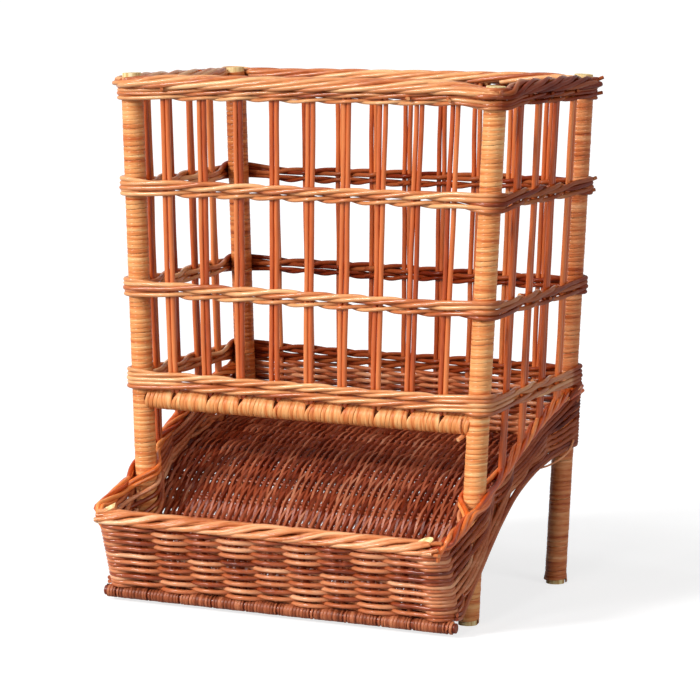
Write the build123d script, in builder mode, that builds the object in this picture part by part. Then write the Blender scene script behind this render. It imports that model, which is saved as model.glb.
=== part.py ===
from build123d import *

import os
from math import atan2, cos, radians, sin, tan

os.makedirs("parts", exist_ok=True)

# Overall sizes of the stand, in millimetres. Posts are measured between their centres.
post_spacing_x = 450.0
post_spacing_y = 286.0
basket_height = 670.0
top_spread = 56.0
back_left_cut_lower = 7.0

# Poles wrapped in flat willow skein
pole_radius = 12.0
skein_thickness = 1.8
skein_gap = 0.2
skein_foot_gap = 5.0
skein_top_gap = 6.0
post_radius = pole_radius + skein_gap + skein_thickness

# Upright stakes, two rods side by side; the front ones are coped to the rail
stake_radius = 3.3
stake_foot_rise = 9.0
rod_gap = 0.3
front_pairs = 9
front_pair_drift = 7.0
side_pairs = 4
stake_hold = 8.0
pair_spacing = 2 * stake_radius + rod_gap

# Woven bands go round the outside of the posts, with the stakes in the middle of the weave
weave_thickness = 18.0
weave_cover = 5.5
face_gap = 0.3
weave_outer = post_radius + face_gap + weave_cover
weave_inner = weave_outer - weave_thickness
stake_offset = (weave_outer + weave_inner) / 2

# Top border, the wale under it, the lower wale, and the two wales that share the height between
border_height = 18.0
border_outer = 25.0
border_inner = 2.0
border_round = 7.0
border_below_posts = 1.0
top_wale_height = 12.0
lower_wale_z = 277.5
lower_wale_height = 22.0
wale_height = 19.0
middle_wale_share = 0.32
upper_wale_share = 0.671
border_bottom = basket_height - border_below_posts - border_height
stake_top = border_bottom + stake_hold
top_wale_z = border_bottom - face_gap - top_wale_height / 2
middle_wale_z = lower_wale_z + middle_wale_share * (top_wale_z - lower_wale_z)
upper_wale_z = lower_wale_z + upper_wale_share * (top_wale_z - lower_wale_z)
lower_wale_foot = lower_wale_z - lower_wale_height / 2

# Front rail across the mouth, close under the lower wale, and the nails that hold it
rail_below_wale = 0.5
nail_radius = 1.5
nail_head_radius = 3.2
nail_head_thickness = 1.2
nail_length = 52.0
rail_z = lower_wale_foot - rail_below_wale - (post_radius**2 - weave_inner**2) ** 0.5

# Tray at the foot of the chute; reaches run forward from the front posts' centres
tray_reach = 124.0
tray_top_z = 124.5
tray_border_height = 15.5
tray_border_width = 22.0
tray_border_round = 5.0
tray_wall_thickness = 15.0
tray_corner_round = 14.0
tray_front_stake_count = 9
corner_stick_radius = 5.0
corner_stick_inset = 15.0
bar_reach = 81.0
bar_pole_radius = 6.3
bar_floor_gap = 4.0
bar_radius = bar_pole_radius + skein_gap + skein_thickness

# Sloping floor of the chute, and the sticks that run across inside it
floor_front_angle = 42.0
floor_front_z = 9.0
floor_middle_y = 91.0
floor_middle_z = 146.0
floor_back_z = 183.0
floor_thickness = 13.0
floor_stick_radius = 3.0
floor_stick_count = 12
floor_stick_hold = 5.0

# Sloping borders on the side walls of the chute
side_border_height = 15.0
side_border_outer = 22.5
side_border_front_z = 130.0
side_border_post_z = 166.0
side_border_middle_y = 165.0
side_border_middle_z = 238.0
side_border_back_gap = 1.0
side_border_tangents = ((1, 0.2), (1, 0.05))
tray_side_stake_reaches = ((36.0, 46.0), (56.0, 80.0))

# The origin is on the floor, under the middle of the overall depth.
overall_depth = post_spacing_y + border_outer + tray_reach
front_y = tray_reach - overall_depth / 2
back_y = front_y + post_spacing_y
middle_y = (front_y + back_y) / 2
bar_y = front_y - bar_reach
bar_z = bar_floor_gap + bar_radius

# The tray's front wall leans from the bottom bar out to the tray border.
tray_border_y = front_y - tray_reach + tray_border_width / 2
wall_foot_z = bar_z + bar_radius + face_gap
wall_head_z = tray_top_z - tray_border_height - face_gap
tray_lean = atan2(bar_y - tray_border_y, wall_head_z - wall_foot_z)
wall_half_run = tray_wall_thickness / 2 / cos(tray_lean)


def half_width(z):
    # half the distance between the left and right posts' centres at a height
    return (post_spacing_x + top_spread * z / basket_height) / 2


def leaning_plane(share, outward, y, z, along_x=True):
    # stands across a rod that leans outward with the posts; share runs from -1 left to 1 right
    lean = Vector(share * top_spread / 2, 0, basket_height).normalized()
    x_dir = Vector(lean.Z, 0, -lean.X) if along_x else Vector(0, 1, 0)
    return Plane(origin=(share * half_width(z) + outward, y, z), x_dir=x_dir, z_dir=lean)


def height_on(curve, y):
    # height of a rising curve at a place along the depth
    low, high = 0.0, 1.0
    for _ in range(40):
        middle = (low + high) / 2
        if (curve @ middle).Y < y:
            low = middle
        else:
            high = middle
    return (curve @ low).Z


def lifted(points, rise):
    return [(y, z + rise) for y, z in points]


def strip_across(offset, foot, head):
    # corners of an upright outline as wide as the posts and an offset on each side
    return (
        (-half_width(foot) - offset, foot),
        (half_width(foot) + offset, foot),
        (half_width(head) + offset, head),
        (-half_width(head) - offset, head),
    )


def strip_beside(inner, outer, foot, head):
    # corners of an upright strip beside the right-hand posts, between two offsets from them
    return (
        (half_width(foot) + inner, foot),
        (half_width(foot) + outer, foot),
        (half_width(head) + outer, head),
        (half_width(head) + inner, head),
    )


# Posts: poles that are also the legs, each wrapped in skein
corners = {
    "front_left": (-1, front_y, basket_height),
    "front_right": (1, front_y, basket_height),
    "back_left": (-1, back_y, basket_height - back_left_cut_lower),
    "back_right": (1, back_y, basket_height),
}

with BuildPart() as post_room:
    with BuildSketch(*[leaning_plane(side, 0, y, 0) for side, y, _ in corners.values()]):
        Circle(post_radius + face_gap)
    extrude(amount=basket_height + border_outer)

nail_head_x = half_width(rail_z) + pole_radius - nail_head_thickness - skein_gap
with BuildPart() as nail_room:
    with BuildSketch(Plane.YZ):
        with Locations((front_y, rail_z)):
            Circle(nail_radius + skein_gap)
    extrude(amount=nail_head_x, both=True)
    with BuildSketch(Plane.YZ.offset(nail_head_x - skein_gap)):
        with Locations((front_y, rail_z)):
            Circle(nail_head_radius + skein_gap)
    extrude(amount=pole_radius)
    mirror(about=Plane.YZ)

with BuildPart() as nail_shank_room:
    with BuildSketch(Plane.YZ):
        with Locations((front_y, rail_z)):
            Circle(nail_radius + skein_gap)
    extrude(amount=half_width(rail_z), both=True)

for name, (side, y, height) in corners.items():
    foot = leaning_plane(side, 0, y, 0)
    with BuildPart() as pole:
        with BuildSketch(foot.offset(-post_radius)):
            Circle(pole_radius)
        extrude(amount=height + post_radius)
        split(bisect_by=Plane.XY, keep=Keep.TOP)
        if y == front_y:
            add(nail_room.part, mode=Mode.SUBTRACT)
    pole.part.label = f"{name}_post"
    export_step(pole.part, f"parts/{name}_post.step")

    with BuildPart() as post_skein:
        with BuildSketch(foot.offset(skein_foot_gap)):
            Circle(post_radius)
            Circle(pole_radius + skein_gap, mode=Mode.SUBTRACT)
        extrude(amount=height - skein_top_gap - skein_foot_gap)
        if y == front_y:
            add(nail_shank_room.part, mode=Mode.SUBTRACT)
    post_skein.part.label = f"{name}_post_skein"
    export_step(post_skein.part, f"parts/{name}_post_skein.step")

# Front rail: a wrapped pole between the front posts, coped to them and nailed through them
with BuildPart() as front_rail:
    with BuildSketch(Plane.YZ):
        with Locations((front_y, rail_z)):
            Circle(pole_radius)
    extrude(amount=half_width(rail_z), both=True)
    add(post_room.part, mode=Mode.SUBTRACT)
    add(nail_shank_room.part, mode=Mode.SUBTRACT)
front_rail.part.label = "front_rail"
export_step(front_rail.part, "parts/front_rail.step")

with BuildPart() as front_rail_skein:
    with BuildSketch(Plane.YZ):
        with Locations((front_y, rail_z)):
            Circle(post_radius)
            Circle(pole_radius + skein_gap, mode=Mode.SUBTRACT)
    extrude(amount=half_width(rail_z), both=True)
    add(post_room.part, mode=Mode.SUBTRACT)
front_rail_skein.part.label = "front_rail_skein"
export_step(front_rail_skein.part, "parts/front_rail_skein.step")

with BuildPart() as front_rail_nails:
    with BuildSketch(Plane.YZ.offset(nail_head_x)):
        with Locations((front_y, rail_z)):
            Circle(nail_head_radius)
    extrude(amount=nail_head_thickness)
    with BuildSketch(Plane.YZ.offset(nail_head_x)):
        with Locations((front_y, rail_z)):
            Circle(nail_radius)
    extrude(amount=-nail_length)
    mirror(about=Plane.YZ)
front_rail_nails.part.label = "front_rail_nails"
export_step(front_rail_nails.part, "parts/front_rail_nails.step")

# Underside of the chute's floor, from the bottom bar and the tray wall's foot to the back wall
floor_points = (
    (bar_y + max(bar_radius, wall_half_run) + face_gap, floor_front_z),
    (front_y + floor_middle_y, floor_middle_z),
    (back_y + weave_inner - face_gap, floor_back_z),
)
floor_tangents = ((cos(radians(floor_front_angle)), sin(radians(floor_front_angle))), (1, 0))
with BuildLine(Plane.YZ) as floor_line:
    Spline(*floor_points, tangents=floor_tangents)
floor_curve = floor_line.edges()[0]

# Top edge of the sloping side borders, from the tray to the back corner
wall_back_y = back_y + weave_outer
side_front_y = tray_border_y + tray_border_width / 2 + face_gap
border_points = (
    (side_front_y, side_border_front_z),
    (front_y, side_border_post_z),
    (front_y + side_border_middle_y, side_border_middle_z),
    (wall_back_y, lower_wale_foot - side_border_back_gap),
)
with BuildLine(Plane.YZ) as border_line:
    Spline(*lifted(border_points, -side_border_height), tangents=side_border_tangents)
border_curve = border_line.edges()[0]

# Upright stakes on the four sides. The front pairs sit on the rail, a little to the right of even
# spacing, and the others reach down into the chute.
front_foot = rail_z + stake_foot_rise
back_foot = floor_back_z + face_gap
pair_shares = [2 * (i + 1) / (front_pairs + 1) - 1 for i in range(front_pairs)]
drifted_shares = [s + (1 - s * s) * front_pair_drift / half_width(middle_wale_z) for s in pair_shares]
side_places = [front_y + post_spacing_y * (i + 1) / (side_pairs + 1) for i in range(side_pairs)]
side_feet = [(y, height_on(floor_curve, y) + face_gap) for y in side_places]
stake_rows = {
    "front_stakes": [leaning_plane(s, 0, front_y - stake_offset, front_foot) for s in drifted_shares],
    "back_stakes": [leaning_plane(s, 0, back_y + stake_offset, back_foot) for s in pair_shares],
    "left_stakes": [leaning_plane(-1, -stake_offset, y, z, False) for y, z in side_feet],
    "right_stakes": [leaning_plane(1, stake_offset, y, z, False) for y, z in side_feet],
}

with BuildPart() as rail_room:
    with BuildSketch(Plane.YZ):
        with Locations((front_y, rail_z)):
            Circle(post_radius + face_gap)
    extrude(amount=half_width(rail_z), both=True)

for name, row in stake_rows.items():
    with BuildPart() as stakes:
        for foot in row:
            with BuildSketch(foot):
                with GridLocations(pair_spacing, 0, 2, 1):
                    Circle(stake_radius)
            extrude(amount=stake_top - foot.origin.Z)
        if name == "front_stakes":
            add(rail_room.part, mode=Mode.SUBTRACT)
    stakes.part.label = name
    export_step(stakes.part, f"parts/{name}.step")

with BuildPart() as stake_room:
    for row in stake_rows.values():
        for foot in row:
            with BuildSketch(foot.offset(-face_gap)):
                SlotCenterToCenter(pair_spacing, 2 * (stake_radius + rod_gap))
            extrude(amount=stake_top - foot.origin.Z + 2 * face_gap)

# Woven bands round the cage: plain rings here, pierced by the stakes
bands = {
    "lower_wale": (lower_wale_z, lower_wale_height),
    "middle_wale": (middle_wale_z, wale_height),
    "upper_wale": (upper_wale_z, wale_height),
    "top_wale": (top_wale_z, top_wale_height),
}
for name, (middle_z, height) in bands.items():
    width = 2 * half_width(middle_z)
    with BuildPart() as band:
        with BuildSketch(Plane((0, middle_y, middle_z))):
            RectangleRounded(width + 2 * weave_outer, post_spacing_y + 2 * weave_outer, weave_outer)
            Rectangle(width + 2 * weave_inner, post_spacing_y + 2 * weave_inner, mode=Mode.SUBTRACT)
        extrude(amount=height / 2, both=True)
        add(post_room.part, mode=Mode.SUBTRACT)
        add(stake_room.part, mode=Mode.SUBTRACT)
    band.part.label = name
    export_step(band.part, f"parts/{name}.step")

border_width = 2 * half_width(border_bottom + border_height / 2)
with BuildPart() as top_border:
    with BuildSketch(Plane((0, middle_y, border_bottom))):
        RectangleRounded(border_width + 2 * border_outer, post_spacing_y + 2 * border_outer, border_outer)
    extrude(amount=border_height)
    fillet(top_border.faces().sort_by(Axis.Z)[-1].edges(), border_round)
    fillet(top_border.faces().sort_by(Axis.Z)[0].edges(), border_round)
    with BuildSketch(Plane((0, middle_y, border_bottom))):
        Rectangle(border_width + 2 * border_inner, post_spacing_y + 2 * border_inner)
    extrude(amount=border_height, mode=Mode.SUBTRACT)
    add(post_room.part, mode=Mode.SUBTRACT)
    add(stake_room.part, mode=Mode.SUBTRACT)
top_border.part.label = "top_border"
export_step(top_border.part, "parts/top_border.step")

# Bottom bar of the tray: a thinner wrapped pole close above the floor
bar_half_length = half_width(bar_z) + weave_outer - face_gap
with BuildPart() as bottom_bar:
    with BuildSketch(Plane.YZ):
        with Locations((bar_y, bar_z)):
            Circle(bar_pole_radius)
    extrude(amount=bar_half_length, both=True)
bottom_bar.part.label = "bottom_bar"
export_step(bottom_bar.part, "parts/bottom_bar.step")

with BuildPart() as bottom_bar_skein:
    with BuildSketch(Plane.YZ):
        with Locations((bar_y, bar_z)):
            Circle(bar_radius)
            Circle(bar_pole_radius + skein_gap, mode=Mode.SUBTRACT)
    extrude(amount=bar_half_length - skein_foot_gap, both=True)
bottom_bar_skein.part.label = "bottom_bar_skein"
export_step(bottom_bar_skein.part, "parts/bottom_bar_skein.step")

# Tray front: a woven wall that leans out from the bar to the tray border, on stakes and corner sticks
stick_foot = corner_stick_radius * sin(tray_lean)
tray_up = Plane(origin=(0, bar_y, wall_foot_z), x_dir=(1, 0, 0), z_dir=(0, -sin(tray_lean), cos(tray_lean)))
tray_stake_length = (wall_head_z - wall_foot_z) / cos(tray_lean) + stake_hold - stick_foot
corner_stick_x = half_width(wall_foot_z) + weave_outer - corner_stick_inset
tray_stake_pitch = 2 * corner_stick_x / (tray_front_stake_count + 1)

with BuildPart() as tray_front_stakes:
    with BuildSketch(tray_up.offset(stick_foot)):
        with GridLocations(tray_stake_pitch, 0, tray_front_stake_count, 1):
            Circle(stake_radius)
    extrude(amount=tray_stake_length)
tray_front_stakes.part.label = "tray_front_stakes"
export_step(tray_front_stakes.part, "parts/tray_front_stakes.step")

for name, side in (("tray_left_corner_stick", -1), ("tray_right_corner_stick", 1)):
    with BuildPart() as corner_stick:
        with BuildSketch(tray_up.offset(stick_foot)):
            with Locations((side * corner_stick_x, 0)):
                Circle(corner_stick_radius)
        extrude(amount=tray_top_z)
        split(bisect_by=Plane.XY.offset(tray_top_z), keep=Keep.BOTTOM)
    corner_stick.part.label = name
    export_step(corner_stick.part, f"parts/{name}.step")

with BuildPart() as tray_stake_room:
    with BuildSketch(tray_up.offset(-stake_hold)):
        with GridLocations(tray_stake_pitch, 0, tray_front_stake_count, 1):
            Circle(stake_radius + rod_gap)
    extrude(amount=tray_stake_length + stick_foot + stake_hold + rod_gap)
    with BuildSketch(tray_up.offset(-stake_hold)):
        with GridLocations(2 * corner_stick_x, 0, 2, 1):
            Circle(corner_stick_radius + rod_gap)
    extrude(amount=tray_top_z + stake_hold)

with BuildPart() as tray_front_wall:
    with BuildSketch(Plane.YZ):
        with BuildLine():
            Polyline(
                (bar_y - wall_half_run, wall_foot_z),
                (bar_y + wall_half_run, wall_foot_z),
                (tray_border_y + wall_half_run, wall_head_z),
                (tray_border_y - wall_half_run, wall_head_z),
                close=True,
            )
        make_face()
    extrude(amount=half_width(wall_head_z) + weave_outer, both=True)
    with BuildSketch(Plane.XZ.offset(-front_y)):
        with BuildLine():
            Polyline(*strip_across(weave_outer, 0, tray_top_z), close=True)
        make_face()
    extrude(amount=2 * tray_reach, mode=Mode.INTERSECT)
    front_face = tray_front_wall.faces().sort_by(Axis.Y)[0]
    fillet(front_face.edges().filter_by(lambda edge: abs((edge % 0.5).X) < 0.5), tray_corner_round)
    add(tray_stake_room.part, mode=Mode.SUBTRACT)
tray_front_wall.part.label = "tray_front_wall"
export_step(tray_front_wall.part, "parts/tray_front_wall.step")

with BuildPart() as tray_border:
    with BuildSketch(Plane((0, tray_border_y, tray_top_z - tray_border_height))) as border_plan:
        Rectangle(2 * (half_width(tray_top_z) + weave_outer), tray_border_width)
        fillet(border_plan.vertices().group_by(Axis.Y)[0], tray_corner_round)
    extrude(amount=tray_border_height)
    fillet(tray_border.faces().sort_by(Axis.Z)[-1].edges(), tray_border_round)
    fillet(tray_border.faces().sort_by(Axis.Z)[0].edges(), tray_border_round)
    add(tray_stake_room.part, mode=Mode.SUBTRACT)
tray_border.part.label = "tray_border"
export_step(tray_border.part, "parts/tray_border.step")

# Stakes of the tray's side walls, which lean forward more and more towards the front
tray_side_lines = []
for foot_reach, head_reach in tray_side_stake_reaches:
    foot_z = height_on(floor_curve, front_y - foot_reach) + face_gap
    head_z = height_on(border_curve, front_y - head_reach) + stake_hold
    tray_side_lines.append((
        Vector(half_width(foot_z) + stake_offset, front_y - foot_reach, foot_z),
        Vector(half_width(head_z) + stake_offset, front_y - head_reach, head_z),
    ))

for name, side in (("tray_left_stakes", -1), ("tray_right_stakes", 1)):
    with BuildPart() as tray_side_stakes:
        for foot, head in tray_side_lines:
            start = Vector(side * foot.X, foot.Y, foot.Z)
            end = Vector(side * head.X, head.Y, head.Z)
            with BuildSketch(Plane(origin=start, z_dir=end - start)):
                Circle(stake_radius)
            extrude(amount=(end - start).length)
    tray_side_stakes.part.label = name
    export_step(tray_side_stakes.part, f"parts/{name}.step")

with BuildPart() as side_stake_room:
    for foot, head in tray_side_lines:
        with BuildSketch(Plane(origin=foot, z_dir=head - foot).offset(-stake_hold)):
            Circle(stake_radius + rod_gap)
        extrude(amount=(head - foot).length + stake_hold + rod_gap)

# Sticks that run across inside the floor; one that meets a post stops at it
stick_points = [floor_curve @ ((i + 0.5) / floor_stick_count) for i in range(floor_stick_count)]
with BuildPart() as floor_sticks:
    for point in stick_points:
        stick_z = point.Z + floor_thickness / 2
        post_distance = min(abs(point.Y - front_y), abs(point.Y - back_y))
        meets_post = post_distance < post_radius + face_gap + floor_stick_radius
        hold = -post_radius - face_gap if meets_post else weave_inner + floor_stick_hold
        with BuildSketch(Plane.YZ):
            with Locations((point.Y, stick_z)):
                Circle(floor_stick_radius)
        extrude(amount=half_width(stick_z) + hold, both=True)
floor_sticks.part.label = "floor_sticks"
export_step(floor_sticks.part, "parts/floor_sticks.step")

with BuildPart() as floor_stick_room:
    for point in stick_points:
        stick_z = point.Z + floor_thickness / 2
        with BuildSketch(Plane.YZ):
            with Locations((point.Y, stick_z)):
                Circle(floor_stick_radius + skein_gap)
        extrude(amount=half_width(stick_z) + weave_inner + floor_stick_hold + face_gap, both=True)

with BuildPart() as tub_floor:
    with BuildSketch(Plane.YZ):
        with BuildLine():
            Spline(*floor_points, tangents=floor_tangents)
            Line(floor_points[-1], lifted(floor_points, floor_thickness)[-1])
            Spline(*lifted(floor_points, floor_thickness), tangents=floor_tangents)
            Line(lifted(floor_points, floor_thickness)[0], floor_points[0])
        make_face()
    extrude(amount=half_width(lower_wale_z) + weave_inner, both=True)
    with BuildSketch(Plane.XZ.offset(-wall_back_y)):
        with BuildLine():
            Polyline(*strip_across(weave_inner - face_gap, 0, lower_wale_z), close=True)
        make_face()
    extrude(amount=overall_depth, mode=Mode.INTERSECT)
    add(post_room.part, mode=Mode.SUBTRACT)
    add(floor_stick_room.part, mode=Mode.SUBTRACT)
tub_floor.part.label = "tub_floor"
export_step(tub_floor.part, "parts/tub_floor.step")


def tray_inner_y(z):
    # just behind the inner face of the leaning tray wall
    return bar_y + wall_half_run - (z - wall_foot_z) * tan(tray_lean) + face_gap


# Side walls of the chute, from the floor's underside up to the sloping borders
wall_top_points = lifted(border_points, -side_border_height - face_gap)
with BuildPart() as right_wall:
    with BuildSketch(Plane.YZ):
        with BuildLine():
            Spline(*floor_points, tangents=floor_tangents)
            Polyline(floor_points[-1], (wall_back_y, floor_back_z), wall_top_points[-1])
            Spline(*wall_top_points, tangents=side_border_tangents)
            Polyline(
                wall_top_points[0],
                (side_front_y, wall_head_z),
                (tray_inner_y(wall_head_z), wall_head_z),
                (tray_inner_y(wall_foot_z), wall_foot_z),
                floor_points[0],
            )
        make_face()
    extrude(amount=half_width(lower_wale_z) + weave_outer)
    with BuildSketch(Plane.XZ.offset(-wall_back_y)):
        with BuildLine():
            Polyline(*strip_beside(weave_inner, weave_outer, 0, lower_wale_z), close=True)
        make_face()
    extrude(amount=overall_depth, mode=Mode.INTERSECT)
    add(post_room.part, mode=Mode.SUBTRACT)
    add(stake_room.part, mode=Mode.SUBTRACT)
    add(side_stake_room.part, mode=Mode.SUBTRACT)
    add(floor_stick_room.part, mode=Mode.SUBTRACT)
right_wall.part.label = "tub_right_wall"
export_step(right_wall.part, "parts/tub_right_wall.step")

with BuildPart() as left_wall:
    mirror(right_wall.part, about=Plane.YZ)
left_wall.part.label = "tub_left_wall"
export_step(left_wall.part, "parts/tub_left_wall.step")

with BuildPart() as right_side_border:
    with BuildSketch(Plane.YZ):
        with BuildLine():
            under_points = lifted(border_points, -side_border_height)
            Spline(*under_points, tangents=side_border_tangents)
            Line(under_points[-1], border_points[-1])
            Spline(*border_points, tangents=side_border_tangents)
            Line(border_points[0], under_points[0])
        make_face()
    extrude(amount=half_width(lower_wale_z) + side_border_outer)
    with BuildSketch(Plane.XZ.offset(-wall_back_y)):
        with BuildLine():
            Polyline(*strip_beside(weave_inner, side_border_outer, 0, lower_wale_z), close=True)
        make_face()
    extrude(amount=overall_depth, mode=Mode.INTERSECT)
    add(post_room.part, mode=Mode.SUBTRACT)
    add(stake_room.part, mode=Mode.SUBTRACT)
    add(side_stake_room.part, mode=Mode.SUBTRACT)
right_side_border.part.label = "right_side_border"
export_step(right_side_border.part, "parts/right_side_border.step")

with BuildPart() as left_side_border:
    mirror(right_side_border.part, about=Plane.YZ)
left_side_border.part.label = "left_side_border"
export_step(left_side_border.part, "parts/left_side_border.step")

# Back wall of the chute, between the side walls and under the lower wale
back_wall_head = lower_wale_foot - face_gap
with BuildPart() as back_wall:
    with BuildSketch(Plane.XZ.offset(-back_y - weave_inner)):
        with BuildLine():
            Polyline(*strip_across(weave_inner - face_gap, floor_back_z, back_wall_head), close=True)
        make_face()
    extrude(amount=-weave_thickness)
    add(post_room.part, mode=Mode.SUBTRACT)
    add(stake_room.part, mode=Mode.SUBTRACT)
back_wall.part.label = "tub_back_wall"
export_step(back_wall.part, "parts/tub_back_wall.step")
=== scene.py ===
import math
import random

import bpy
from mathutils import Matrix, Vector, noise


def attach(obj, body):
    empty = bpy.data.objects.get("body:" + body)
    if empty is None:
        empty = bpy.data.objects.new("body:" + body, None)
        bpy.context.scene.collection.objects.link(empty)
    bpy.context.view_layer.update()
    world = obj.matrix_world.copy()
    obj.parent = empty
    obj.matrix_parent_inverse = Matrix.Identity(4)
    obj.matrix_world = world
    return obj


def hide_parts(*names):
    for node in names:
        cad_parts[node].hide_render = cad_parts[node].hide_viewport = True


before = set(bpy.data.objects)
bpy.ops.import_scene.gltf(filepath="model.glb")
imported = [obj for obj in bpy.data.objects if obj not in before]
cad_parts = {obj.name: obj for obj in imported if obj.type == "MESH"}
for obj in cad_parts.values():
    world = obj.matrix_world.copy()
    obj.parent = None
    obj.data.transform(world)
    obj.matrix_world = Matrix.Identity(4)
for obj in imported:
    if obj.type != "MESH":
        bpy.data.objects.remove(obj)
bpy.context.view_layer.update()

random.seed(7)
print("frame loaded:", len(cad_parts), "nodes")

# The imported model's own sizes, in millimetres. All the weaving is worked out in millimetres too, and
# becomes metres when a piece is laid.
basket = {
    "halfSpacing": 225.0, "halfSpread": 28.0, "height": 670.0,
    "frontY": -93.5, "backY": 192.5, "postRadius": 14.0,
    "stakeOffset": 10.8, "stakeRadius": 3.3,
    "frontPairs": 9, "pairDrift": 7.0, "driftAt": 393.0, "sidePairs": 4,
}
frontY, backY = basket["frontY"], basket["backY"]
postRadius, stakeRadius = basket["postRadius"], basket["stakeRadius"]
toRight, toBack, toTop = Vector((1, 0, 0)), Vector((0, 1, 0)), Vector((0, 0, 1))
metre = 0.001


def halfWidth(z):
    # half the distance between the left and right posts at a height
    return basket["halfSpacing"] + basket["halfSpread"] * z / basket["height"]


def mixed(low, high, share):
    return low + (high - low) * share


def nearPost(p):
    # 1 at a post, 0 well away from it
    reach = abs(abs(p.x) - halfWidth(p.z))
    return max(math.exp(-(reach ** 2 + (p.y - y) ** 2) / 900) for y in (frontY, backY))


def tilted(p, tilt):
    # height that a level line gains towards the right and towards the back, less so at the posts
    gain = tilt[0] * p.x / 250 + tilt[1] * (2 * p.y - frontY - backY) / (backY - frontY)
    return gain * (1 - 0.8 * nearPost(p))


def wander(seed, along, size):
    # slow, smooth unevenness of hand work
    return size * noise.noise(Vector((seed * 7.31, along, seed * 1.7)))


# Willow and its finishes

def linearColour(hexColour):
    # sRGB hex to the linear values that the shaders take
    parts = [int(hexColour[i:i + 2], 16) / 255 for i in (1, 3, 5)]
    return [c / 12.92 if c <= 0.04045 else ((c + 0.055) / 1.055) ** 2.4 for c in parts] + [1.0]


def addNode(tree, kind, settings):
    # one node with its settings; a socket as a value is linked
    node = tree.nodes.new("ShaderNode" + kind)
    for name, value in settings.items():
        if isinstance(value, bpy.types.NodeSocket):
            tree.links.new(value, node.inputs[name])
        elif isinstance(name, int) or name in node.inputs:
            node.inputs[name].default_value = value
        else:
            setattr(node, name, value)
    return node


def weightedSum(tree, parts):
    # patterns added up, each with its weight
    total = 0.0
    for part, weight in parts:
        total = addNode(tree, "Math", {"operation": "MULTIPLY_ADD", 0: part, 1: weight, 2: total}).outputs[0]
    return total


def colourStops(ramp, stops):
    elements = ramp.color_ramp.elements
    while len(elements) < len(stops):
        elements.new(0.5)
    for element, (place, colour) in zip(elements, stops):
        element.position = place
        element.color = linearColour(colour)


def newMaterial(name):
    material = bpy.data.materials.new(name)
    material.use_nodes = True
    material.node_tree.nodes.clear()
    return material, material.node_tree


def finishShader(tree, settings, height, depth):
    bump = addNode(tree, "Bump", {"Strength": 0.6, "Distance": depth, "Height": height})
    shader = addNode(tree, "BsdfPrincipled", {**settings, "Normal": bump.outputs["Normal"]})
    addNode(tree, "OutputMaterial", {"Surface": shader.outputs["BSDF"]})


shade = {"tint": "#B4826C", "edge": 0.012, "gloss": 0.3}  # painted shade of rods on the right side and at the back: a darker tint and less coat


def willowRod(name, tones, stretch, roughness=0.5, coat=0.62, darker=None):
    # Buff willow, boiled in its bark and peeled, under a clear varnish: each rod has its own tone
    # from tan to red-brown, darker blotches a few centimetres long, and fine streaks along it.
    # Past the places given as darker, to the right and to the back, the rods are painted duller and a deeper
    # red-brown: painted shade for the sides that stand in shade.
    material, tree = newMaterial(name)
    place = addNode(tree, "TexCoord", {}).outputs["Object"]
    stretched = addNode(tree, "Mapping", {"Vector": place, "Scale": stretch})
    island = addNode(tree, "NewGeometry", {}).outputs["Random Per Island"]
    blotch = addNode(tree, "TexNoise", {"Vector": stretched.outputs["Vector"], "Scale": 45.0, "Detail": 3.0})
    streak = addNode(tree, "TexNoise", {"Vector": stretched.outputs["Vector"], "Scale": 420.0, "Detail": 2.0})
    total = weightedSum(tree, ((blotch.outputs["Fac"], 0.6), (island, 0.42), (streak.outputs["Fac"], 0.22)))
    ramp = addNode(tree, "ValToRGB", {"Fac": total})
    colourStops(ramp, tones)
    colour, gloss = ramp.outputs["Color"], coat
    # painted shade: past these places the colour is multiplied by the tint and the coat is lowered
    if darker:
        xyz = addNode(tree, "SeparateXYZ", {"Vector": place})
        shares = [addNode(tree, "MapRange", {
            "interpolation_type": "SMOOTHSTEP", "Value": xyz.outputs[axis],
            "From Min": at - shade["edge"], "From Max": at + shade["edge"],
        }).outputs["Result"] for axis, at in zip("XY", darker)]
        share = addNode(tree, "Math", {"operation": "MAXIMUM", 0: shares[0], 1: shares[1]}).outputs[0]
        tint = linearColour(shade["tint"])
        deeper = addNode(tree, "MixRGB", {"blend_type": "MULTIPLY", "Fac": 1.0, "Color1": colour, "Color2": tint})
        blended = addNode(tree, "MixRGB", {"Fac": share, "Color1": colour, "Color2": deeper.outputs["Color"]})
        dulled = addNode(tree, "MapRange", {"Value": share, "To Min": coat, "To Max": shade["gloss"] * coat})
        colour, gloss = blended.outputs["Color"], dulled.outputs["Result"]
    finishShader(tree, {
        "Base Color": colour, "Roughness": roughness, "Specular IOR Level": 0.0,
        "Coat Weight": gloss, "Coat Roughness": 0.17,
    }, streak.outputs["Fac"], 0.0004)
    return material


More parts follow.
